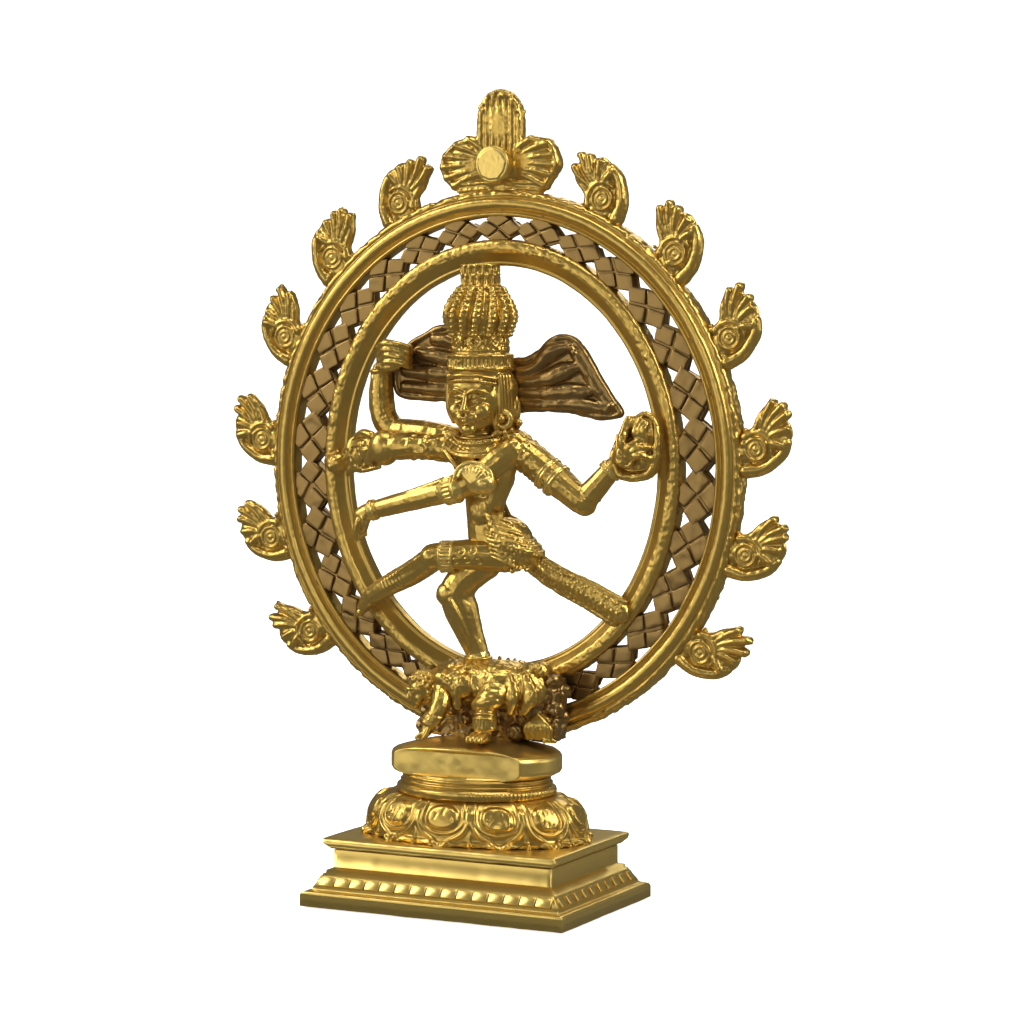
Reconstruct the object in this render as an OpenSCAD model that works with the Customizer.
// Small brass statue of a dancing figure in a ring of flames, on a lotus pedestal.
// +X is the viewer's right, the figure faces -Y, +Z is up.
// The origin is the centre of the face that it stands on. Sizes are in millimetres.

/* [Plinth] */
// Width of the bottom step, side to side
plinth_w = 59; // [56:0.5:64]
// Depth of the bottom step, front to back
plinth_d = 41.5; // [40:0.5:46]
// Height of the bottom step
step_h = 2.85; // [2.5:0.05:3.2]
// Width of the upright block above the moulding
dado_w = 49; // [46:0.5:50]
// Depth of the upright block above the moulding
dado_d = 31; // [29:0.5:32]
// Height of the top of the moulding
moulding_top = 7.3; // [6.8:0.1:7.8]
// Thickness of the plinth's walls
wall = 3; // [2:0.25:4]
// Width of the slab that closes the plinth
slab_w = 52.3; // [51:0.1:55]
// Depth of the slab that closes the plinth
slab_d = 34.4; // [33:0.1:37]
// Height of the slab's underside
slab_z = 11.4; // [10.5:0.1:12]
// Thickness of the slab
slab_h = 2.25; // [1.8:0.05:2.6]

/* [Lotus and drum] */
// Half width of the lotus at its foot
lotus_rx = 25.2; // [24:0.1:25.6]
// Depth of each oval of the pedestal over its width
lotus_ratio = 0.635; // [0.6:0.005:0.66]
// Height of the top of the lotus
lotus_top = 22.5; // [21.5:0.1:23.2]
// Number of petals
petal_count = 14; // [12:1:16]
// Half width of the drum
drum_rx = 18; // [17:0.1:19]
// Depth of the drum over its width
drum_ratio = 0.811; // [0.79:0.001:0.83]
// Distance from the middle to the flat ground on the front of the drum
facet_y = 8.9; // [8.5:0.1:10]
// Height of the underside of the drum
drum_z = 26.5; // [26:0.1:27]
// Height of the edge of the drum's top
drum_edge_z = 31.2; // [30.8:0.1:31.4]
// Height of the middle of the drum's top
drum_top = 34; // [33.6:0.1:34.4]

/* [Ring] */
// Distance from the middle of the pedestal back to the middle of the ring
ring_y = 11; // [10.5:0.1:11.5]
// Height of the middle of the ring
ring_z = 88.2; // [87.8:0.1:88.6]
// Half width of the ring
ring_rx = 53.6; // [53:0.1:54.5]
// Half height of the ring
ring_rz = 56; // [55.6:0.1:56.2]
// Half width of the opening
opening_rx = 35.5; // [35.2:0.1:36]
// Half height of the opening
opening_rz = 40.8; // [40.5:0.1:41]
// Width of each rail, measured out from the middle
rail_w = 5.3; // [4.8:0.1:5.4]
// Thickness of the rails, front to back
rail_t = 5.6; // [5:0.1:6]
// Thickness of the lattice
lattice_t = 3.6; // [3:0.1:4.5]
// Number of diamonds in the lattice
cell_count = 30; // [24:2:36]

/* [Flames and crest] */
// Size of a flame from its root to the tip of its longest tongue
flame_l = 15.5; // [13:0.5:16]
// Thickness of a flame
flame_t = 3.4; // [2.5:0.1:4]
// Height of the top of the crest, which is the statue's height
crest_top = 165; // [163:0.5:167]
// Thickness of the crest
crest_t = 4.2; // [3.5:0.1:5]
// Radius of the rosette on the crest
rosette_r = 3.8; // [3:0.1:4.2]

/* [Figure] */
// Distance from the middle of the pedestal back to the middle of the body
body_y = 3.6; // [3:0.1:4]
// Thickness of the limbs over their modelled size
limb_scale = 1; // [0.9:0.05:1.1]

/* [Hidden] */

polished = "goldenrod";
cast = "darkgoldenrod";
dark = "#7a5a1c";
eps = 0.01;
oval_sides = 72;
limb_fn = 14;

rail_in_x = ring_rx - rail_w;
rail_in_z = ring_rz - rail_w;
inner_out_x = opening_rx + rail_w;
inner_out_z = opening_rz + rail_w;
slab_top = slab_z + slab_h;
neck_r = 17;

// Dentils of the plinth's moulding: size, spacing, and the slope that they stand on.
// The moulding starts moulding_set inside the step and ends lip outside the dado.
dentil = [2.3, 0.9, 2.7];
dentil_pitch = 3.25;
moulding_set = 1.5;
lip = 0.9;
moulding_run = (plinth_w - dado_w) / 2 - moulding_set - lip;
moulding_rise = moulding_top - 0.4 - step_h;
dentil_tilt = atan(moulding_run / moulding_rise);

// The angles of the flames, from the top of the ring
flame_angles = [24, 43.5, 63.5, 85.5, 106, 127.5];
flame_lean = 50;
flame_eye = 3.2;
tenon_w = 3.2;
tenon_l = 1.4;

// Joints of the body: shoulders, elbows, wrists, hips, knees and ankles
shoulder_left = [-7.2, body_y + 0.6, 92.6];
shoulder_right = [6.8, body_y + 0.6, 93.2];
hip_left = [0.6, body_y, 69];
hip_right = [5.6, body_y - 1, 70.5];

function oval(rx, rz, sides = oval_sides) =
  [for (i = [0 : sides - 1]) [rx * cos(360 * i / sides), rz * sin(360 * i / sides)]];

// A point of an oval of two half sizes, at an angle from the top towards +X
function on_oval(radii, angle) = [radii[0] * sin(angle), radii[1] * cos(angle)];

// A point of the outer rail's outer edge
function rim(angle, out = 0) = on_oval([ring_rx + out, ring_rz + out], angle);

// Turns an outline drawn as x and height into a plate that stands at ring_y or elsewhere
module standing_plate(thickness, y = ring_y, z = ring_z)
  translate([0, y, z]) rotate([90, 0, 0]) translate([0, 0, -thickness / 2])
    linear_extrude(thickness) children();

module block(width, depth, low, high)
  translate([-width / 2, -depth / 2, low]) cube([width, depth, high - low]);

// A turned profile of radius and height, pressed to an oval
module oval_turned(profile, ratio)
  scale([1, ratio, 1]) rotate_extrude($fn = 64) polygon(profile);

module ball(place, size) translate(place) scale(size) sphere(r = 1, $fn = limb_fn);

// Round bars from each point to the next
module limb(points, radii)
  for (i = [0 : len(points) - 2]) hull() {
    translate(points[i]) sphere(r = radii[i] * limb_scale, $fn = limb_fn);
    translate(points[i + 1]) sphere(r = radii[i + 1] * limb_scale, $fn = limb_fn);
  }

// A bangle: a short round bar across the limb at part t of the way from one point to another
module bangle(from, to, t, radius, width) {
  span = to - from;
  turn = [0, acos(span[2] / norm(span)), atan2(span[1], span[0])];
  translate(from + span * t) rotate(turn)
    translate([0, 0, -width / 2]) cylinder(h = width, r = radius * limb_scale, $fn = 32);
}

// ---- Pedestal ----

module moulding_course()
  translate([0, 0, step_h - eps]) hull() {
    block(plinth_w - 2 * moulding_set, plinth_d - 2 * moulding_set, 0, eps);
    block(dado_w + 2 * lip, dado_d + 2 * lip, moulding_rise, moulding_rise + eps);
  }

module dentil_row(count, reach)
  for (i = [0 : count - 1])
    translate([(i - (count - 1) / 2) * dentil_pitch, -reach, (step_h + moulding_top) / 2])
      rotate([-dentil_tilt, 0, 0])
        translate([-dentil[0] / 2, -dentil[1] / 2, -dentil[2] / 2]) cube(dentil);

module dentils() {
  front_reach = (plinth_d + dado_d) / 4 - (moulding_set - lip) / 2 + 0.1;
  side_reach = (plinth_w + dado_w) / 4 - (moulding_set - lip) / 2 + 0.1;
  for (turn = [0, 180]) rotate(turn) dentil_row(15, front_reach);
  for (turn = [90, 270]) rotate(turn) dentil_row(10, side_reach);
}

module plinth() color(cast) difference() {
  union() {
    block(plinth_w, plinth_d, 0, step_h);
    moulding_course();
    block(dado_w + 2 * lip, dado_d + 2 * lip, moulding_top - 0.5, moulding_top);
    block(dado_w, dado_d, moulding_top - eps, slab_z);
    dentils();
  }
  block(plinth_w - 2 * wall - 3, plinth_d - 2 * wall - 3, -1, step_h);
  block(dado_w - 2 * wall, dado_d - 2 * wall, step_h - 1, slab_z + 1);
}

// The slab has a shallow panel underneath that drops into the plinth, and a socket on top
module plinth_slab() color(polished) difference() {
  union() {
    block(slab_w, slab_d, slab_z, slab_top);
    block(dado_w - 2 * wall, dado_d - 2 * wall, slab_z - 1.2, slab_z + eps);
  }
  translate([0, 0, slab_top - 1.2]) cylinder(h = 2, r = 6);
}

module petal(angle) {
  foot_r = lotus_rx - 1.9;
  shoulder_r = 0.93 * (lotus_rx - 2);
  hull() {
    translate([foot_r * cos(angle), foot_r * lotus_ratio * sin(angle), slab_top + 1.3])
      sphere(r = 1.3, $fn = 12);
    for (side = [angle - 9, angle + 9])
      translate([shoulder_r * cos(side), shoulder_r * lotus_ratio * sin(side), slab_top + 5])
        sphere(r = 1.8, $fn = 12);
  }
}

module lotus() color(cast) union() {
  swell = [lotus_rx - neck_r, lotus_top - slab_top - 1];
  oval_turned([
    [0, slab_top], [lotus_rx - 1.4, slab_top], [lotus_rx, slab_top + 1.1],
    for (a = [20 : 14 : 76]) [neck_r + swell[0] * cos(a), slab_top + 1 + swell[1] * sin(a)],
    [neck_r, lotus_top], [0, lotus_top]
  ], lotus_ratio);
  for (i = [0 : petal_count - 1]) petal(360 * (i + 0.5) / petal_count);
  translate([0, 0, slab_top - 1.2]) cylinder(h = 1.4, r = 6);
  translate([0, 0, lotus_top - 1]) cylinder(h = 2.2, r = 5);
}

module neck_mouldings() color(cast) difference() {
  step = (drum_z - lotus_top) / 4;
  oval_turned([
    [0, lotus_top], [neck_r, lotus_top], [neck_r, lotus_top + step], [15.8, lotus_top + 1.2 * step],
    [16.4, lotus_top + 2 * step], [15.6, lotus_top + 2.3 * step], [16.2, lotus_top + 3 * step],
    [16.6, drum_z], [0, drum_z]
  ], 0.78);
  translate([0, 0, lotus_top - 1]) cylinder(h = 2.2, r = 5);
}

module drum_form() difference() {
  oval_turned([
    [0, drum_z], [drum_rx - 1, drum_z], [drum_rx, drum_z + 1], [drum_rx, drum_edge_z - 1],
    [drum_rx - 1, drum_edge_z], [drum_rx * 0.72, drum_edge_z + 1.4],
    [drum_rx * 0.4, drum_top - 0.4], [0, drum_top]
  ], drum_ratio);
  translate([-drum_rx, -drum_rx - facet_y, drum_z - 1])
    cube([2 * drum_rx, drum_rx, drum_edge_z - drum_z + 1 + eps]);
}

// The ring stands in a slot cut across the drum
module drum() color(polished) difference() {
  drum_form();
  standing_plate(rail_t) polygon(oval(ring_rx, ring_rz));
}

// ---- Ring ----

module flame_tenon(angle)
  translate(rim(angle, -tenon_l)) rotate(-angle)
    translate([-tenon_w / 2, 0]) square([tenon_w, tenon_l + 1.2]);

module crest_tenon() translate([-tenon_w, ring_rz - tenon_l]) square([2 * tenon_w, tenon_l + 1.2]);

module outer_rail() color(cast) standing_plate(rail_t) difference() {
  polygon(oval(ring_rx, ring_rz));
  polygon(oval(rail_in_x, rail_in_z));
  for (angle = flame_angles, side = [-1, 1]) flame_tenon(side * angle);
  crest_tenon();
}

module inner_rail() color(cast) standing_plate(rail_t) difference() {
  polygon(oval(inner_out_x, inner_out_z));
  polygon(oval(opening_rx, opening_rz));
}

// A diamond every 360 / cell_count degrees, joined corner to corner, with a hole on each side between two
module ring_lattice() color(dark) standing_plate(lattice_t) difference() {
  polygon(oval(rail_in_x, rail_in_z));
  polygon(oval(inner_out_x, inner_out_z));
  half = 0.30 * 360 / cell_count;
  outer = [rail_in_x - 0.5, rail_in_z - 0.5];
  inner = [inner_out_x + 0.5, inner_out_z + 0.5];
  middle = (outer + inner) / 2;
  for (i = [0 : cell_count - 1]) {
    angle = 360 * (i + 0.5) / cell_count;
    for (side = [[outer, 0.7], [inner, -0.7]]) {
      tip = middle + [side[1], side[1]];
      polygon([on_oval(side[0], angle - half), on_oval(side[0], angle + half), on_oval(tip, angle)]);
    }
  }
}

// A flame: an eye at its root and five tongues, drawn with its root at the origin and the tongues up
module flame_outline() {
  polygon(oval(3.6, 3.6, 32));
  for (tongue = [-2 : 2]) {
    reach = flame_l * (0.74 - 0.035 * tongue * tongue);
    rotate(-tongue * 9) polygon([
      [-1.5, 0], [-2.1, reach * 0.45], [-1.5, reach * 0.82], [-0.2, reach], [1.1, reach * 0.86],
      [2, reach * 0.5], [1.5, 0]
    ]);
  }
}

// The flames on the left are the mirror image of those on the right
module flame(index, side) mirror([side < 0 ? 1 : 0, 0, 0]) {
  angle = flame_angles[index - 1];
  color(cast) union() {
    standing_plate(flame_t) difference() {
      translate(rim(angle, flame_eye)) rotate(flame_lean - angle) flame_outline();
      polygon(oval(ring_rx, ring_rz));
    }
    standing_plate(flame_t) flame_tenon(angle);
  }
}

module crest_outline() {
  base = ring_rz - 0.4;
  peak = crest_top - ring_z;
  lobe_r = 5.2;
  for (side = [-1, 1]) polygon([
    [0, base], [side * 9, base + 1.4], [side * 12.4, base + 3], [side * 13.7, base + 7],
    [side * 12.2, base + 10.4], [side * 8.5, base + 10.8], [side * 4, base + 9], [0, base + 8]
  ]);
  translate([-lobe_r, base]) square([2 * lobe_r, peak - base - lobe_r]);
  translate([0, peak - lobe_r]) polygon(oval(lobe_r, lobe_r, 48));
}

module crest() color(cast) union() {
  standing_plate(crest_t) difference() {
    crest_outline();
    polygon(oval(ring_rx, ring_rz));
  }
  standing_plate(crest_t) crest_tenon();
}

module crest_rosette() color(polished)
  translate([0, ring_y - crest_t / 2, 149.4]) rotate([90, 0, 0]) union() {
    cylinder(h = 1.6, r = rosette_r);
    cylinder(h = 2.4, r = rosette_r * 0.36);
    for (i = [0 : 7]) rotate(45 * i) translate([rosette_r * 0.68, 0, 0]) cylinder(h = 2, r = 0.9);
  }

// ---- Dwarf under the dancer ----

module dwarf_body_form() {
  ball([-4, 1.6, 44.5], [7.5, 6.6, 4.9]);
  ball([4.5, 1.6, 45.2], [7.5, 6.6, 4.6]);
  ball([11, 2.6, 44], [5, 5.6, 5.2]);
}
module dwarf_head_form() ball([-11.2, -1.6, 43], [3.9, 4.2, 4]);
module dwarf_arm_form()
  limb([[-6, -2.6, 43], [-5.6, -5.4, 40], [-7.6, -6.4, 36], [-8.8, -6.2, 33.9]], [2.4, 2, 1.7, 1.3]);
module dwarf_leg_form()
  limb([[5.6, -2, 43], [4.6, -5, 38.6], [4.6, -5.6, 35.2], [4.4, -8.2, 34.3]], [3.8, 2.5, 2.2, 1.7]);
module dwarf_drapery_form() hull() {
  ball([13.6, 2.4, 47.2], [2.4, 3, 2.6]);
  ball([14.4, 1.6, 36.5], [3.2, 3.4, 3.4]);
}
module ring_foot_form() hull() {
  translate([-13, -0.5, 33]) cube([27, ring_y - rail_t / 2 + 0.5, 2]);
  translate([-15, 3.6, 44]) cube([33, ring_y - rail_t / 2 - 3.6, 3]);
}

module dwarf_body() color(cast) difference() {
  dwarf_body_form();
  ring_foot_form();
  dwarf_head_form();
  dwarf_arm_form();
  dwarf_leg_form();
  dwarf_drapery_form();
  standing_leg_form();
  translate([-20, ring_y - rail_t / 2, 30]) cube([40, 10, 30]);
}
module dwarf_head() color(cast) difference() {
  dwarf_head_form();
  ring_foot_form();
}
module dwarf_arm() color(cast) difference() {
  dwarf_arm_form();
  ring_foot_form();
  drum_form();
}
module dwarf_leg() color(cast) difference() {
  dwarf_leg_form();
  ring_foot_form();
  drum_form();
}
module dwarf_drapery() color(cast) difference() {
  dwarf_drapery_form();
  ring_foot_form();
  drum_form();
}
module ring_foot() color(dark) difference() {
  ring_foot_form();
  drum_form();
}
module hand_lug() color(cast) difference() {
  ball([-36.4, 6.8, 88.2], [3.4, 2.6, 3]);
  translate([-45, ring_y - rail_t / 2, 80]) cube([20, 10, 20]);
  arm_abhaya_form();
}

// ---- Dancer ----

module torso_form() {
  hull() {
    ball([0, body_y, 91.6], [8.6, 4, 3.4]);
    ball([0.4, body_y, 86], [6.4, 4, 3]);
  }
  hull() {
    ball([0.4, body_y, 86], [6.4, 4, 3]);
    ball([0.6, body_y, 79.4], [4.7, 3.5, 2.4]);
  }
  hull() {
    ball([0.6, body_y, 79.4], [4.7, 3.5, 2.4]);
    ball([3.4, body_y, 72.6], [7, 4.4, 4]);
  }
  limb([[-0.8, body_y, 93], [-1.4, body_y - 0.6, 98]], [3.4, 3]);
}

module head_form() {
  ball([-1.6, 1.9, 102.2], [5.3, 5.7, 7.4]);
  hull() {
    ball([-0.8, 3.4, 104.2], [7.6, 5.8, 4.6]);
    ball([2.4, 5, 98], [5, 3.6, 4.2]);
  }
}

// Piled hair, banded: each row is a radius and a height
crown_rows = [
  [7, 107.8], [7, 111.2], [6.4, 111.6], [6.8, 114.4], [6.2, 115], [7.2, 118.4],
  [6.4, 121.6], [5.4, 124.6], [5, 129]
];
module crown_form() translate([-0.9, 3.6, 0]) scale([1, 0.86, 1]) rotate_extrude($fn = 48)
  polygon([[0, crown_rows[0][1]], each crown_rows, [0, 129.5]]);

// Folded hair flies out on each side as a thin sheet
wing_right = [
  [5, 98.6], [5, 110], [11, 112], [15.5, 115.2], [20, 115.6], [24, 112],
  [28, 105], [31, 99.4], [29.6, 97.8], [22, 99.4], [14, 98]
];
wing_left = [
  [-5, 100.6], [-5, 112.6], [-10, 116.2], [-16.6, 117], [-21, 114.6],
  [-23.4, 109], [-19, 103], [-12, 100.8]
];
wing_t = 3;
wing_y = 8;
module hair_sheet(outline) standing_plate(wing_t, wing_y, 0) polygon(outline);

elbow_drum = [-23.4, 5.8, 95.4];
hand_drum = [-23, 5, 112.4];
elbow_abhaya = [-19.6, 0.8, 92];
elbow_gaja = [-5.4, -2.2, 85.4];
wrist_gaja = [-26, -1.4, 78.6];
elbow_flame = [21.8, 4.6, 80.2];
wrist_flame = [28.2, 6, 89];
knee_standing = [-8.6, 2, 62.4];
ankle_standing = [-1.6, 4, 51.6];
knee_raised = [-9.4, -1, 69.8];
ankle_raised = [-26.6, 2.4, 59.8];

module arm_drum_form() {
  limb([shoulder_left, elbow_drum, [-24, 6, 108]], [3, 2.5, 2]);
  limb([[-24, 6, 108], hand_drum, [-19, 4.6, 110.4]], [2, 2.7, 1.9]);
}
module arm_abhaya_form() {
  limb([shoulder_left + [-0.4, -2, -0.8], elbow_abhaya], [3, 2.9]);
  hull() {
    ball([-22.4, 1.4, 91.4], [2.6, 2.4, 3]);
    ball([-28, 3.4, 90.6], [4, 1.8, 4.6]);
  }
  limb([[-30.4, 4, 89], [-33.2, 5.4, 87.6]], [1.9, 1.5]);
}
module arm_gaja_form() {
  limb([shoulder_right + [0.6, -1.8, -1.2], elbow_gaja, wrist_gaja], [2.9, 2.5, 1.7]);
  limb([wrist_gaja, [-28.6, -1, 76], [-30, -0.6, 73.4]], [1.9, 1.8, 1.1]);
}
module arm_flame_form() {
  limb([shoulder_right, elbow_flame, wrist_flame], [3, 2.4, 1.8]);
  ball([30.4, 6, 91.6], [3, 2, 3.4]);
}
module hand_flame_form() hull() {
  ball([32.4, 5.9, 90.6], [4.4, 2.4, 4]);
  ball([34.2, 6.2, 98], [2.4, 1.8, 2.2]);
}
module standing_leg_form() {
  limb([hip_left, knee_standing, ankle_standing], [4, 3.2, 2.3]);
  limb([ankle_standing, [-1.8, 3.8, 50], [-3.6, -1.6, 50]], [2.3, 2, 1.6]);
}
module raised_leg_form() {
  limb([hip_right, knee_raised, ankle_raised], [4.3, 3.2, 2.1]);
  limb([ankle_raised, [-29.4, 4.4, 57.6], [-32.4, 5.6, 55.4]], [2.1, 2, 1.6]);
}
module rail_front() translate([-60, ring_y - rail_t / 2, 20]) cube([120, 20, 120]);

module torso() color(cast) difference() {
  torso_form();
  arm_drum_form();
  arm_abhaya_form();
  arm_gaja_form();
  arm_flame_form();
  standing_leg_form();
  raised_leg_form();
}
module head() color(cast) difference() {
  head_form();
  torso_form();
  crown_form();
}
module crown() color(cast) difference() {
  crown_form();
  rail_front();
}
module hair_wing_left() color(dark) difference() {
  hair_sheet(wing_left);
  head_form();
  crown_form();
  arm_drum_form();
}
module hair_wing_right() color(dark) difference() {
  hair_sheet(wing_right);
  head_form();
  crown_form();
  torso_form();
}
module necklace() color(cast) difference() {
  translate([-0.6, body_y - 0.6, 94.6]) rotate([12, 0, 0]) scale([1, 0.78, 1.5])
    rotate_extrude($fn = 32) translate([5.2, 0]) circle(r = 1.3, $fn = 12);
  torso_form();
  head_form();
  arm_abhaya_form();
  arm_gaja_form();
  arm_drum_form();
  arm_flame_form();
}
module chest_ornament() color(polished) difference() {
  ball([0.4, -1.4, 87.6], [3.4, 2.4, 2.2]);
  torso_form();
  arm_gaja_form();
  arm_abhaya_form();
}
module girdle_form() hull() {
  ball([3, body_y, 77.4], [5.8, 4.6, 1.6]);
  ball([5.4, body_y, 71.6], [7.6, 5, 3]);
}
module girdle() color(cast) difference() {
  girdle_form();
  torso_form();
  standing_leg_form();
  raised_leg_form();
}
module sash() color(cast) difference() {
  hull() {
    ball([9.6, 5, 71.6], [2.6, 1.8, 2.8]);
    ball([27.6, 7.4, 59.8], [2.6, 1.4, 2.6]);
  }
  torso_form();
  raised_leg_form();
  rail_front();
  girdle_form();
}
module standing_leg() color(cast) difference() {
  standing_leg_form();
  raised_leg_form();
}
module raised_leg() color(cast) difference() {
  raised_leg_form();
  rail_front();
}
module knee_band() color(polished) difference() {
  bangle(knee_raised, hip_right, 0.18, 4.1, 2.6);
  raised_leg_form();
}
module anklet() color(polished) difference() {
  bangle(ankle_standing, knee_standing, 0.08, 3.1, 2);
  standing_leg_form();
}
module arm_drum() color(cast) difference() {
  arm_drum_form();
  arm_abhaya_form();
}
module arm_abhaya() color(cast) difference() {
  arm_abhaya_form();
  arm_gaja_form();
}
module arm_gaja() color(cast) arm_gaja_form();
module arm_flame() color(cast) difference() {
  arm_flame_form();
  hand_flame_form();
  arm_gaja_form();
  rail_front();
}
module hand_flame() color(cast) difference() {
  hand_flame_form();
  rail_front();
}
module armlets() color(polished) {
  difference() {
    bangle(shoulder_right, elbow_flame, 0.45, 3.6, 2.4);
    arm_flame_form();
  }
  difference() {
    bangle(elbow_gaja, wrist_gaja, 0.1, 3.3, 2.4);
    arm_gaja_form();
  }
}
module bracelets() color(polished) {
  difference() {
    bangle(elbow_gaja, wrist_gaja, 0.93, 2.5, 2.2);
    arm_gaja_form();
  }
  difference() {
    bangle(elbow_flame, wrist_flame, 0.82, 2.7, 2.2);
    arm_flame_form();
  }
}
module earring() color(polished) difference() {
  translate([5.4, 1.6, 98]) rotate([90, 0, 30])
    rotate_extrude($fn = 32) translate([1.6, 0]) circle(r = 0.8, $fn = 16);
  head_form();
}

plinth();
plinth_slab();
lotus();
neck_mouldings();
drum();
outer_rail();
ring_lattice();
inner_rail();
crest();
crest_rosette();
for (i = [1 : 6]) {
  flame(i, -1);
  flame(i, 1);
}
dwarf_body();
dwarf_head();
dwarf_arm();
dwarf_leg();
dwarf_drapery();
ring_foot();
hand_lug();
torso();
head();
crown();
hair_wing_left();
hair_wing_right();
necklace();
chest_ornament();
girdle();
sash();
standing_leg();
raised_leg();
knee_band();
anklet();
arm_drum();
arm_abhaya();
arm_gaja();
arm_flame();
hand_flame();
armlets();
bracelets();
earring();
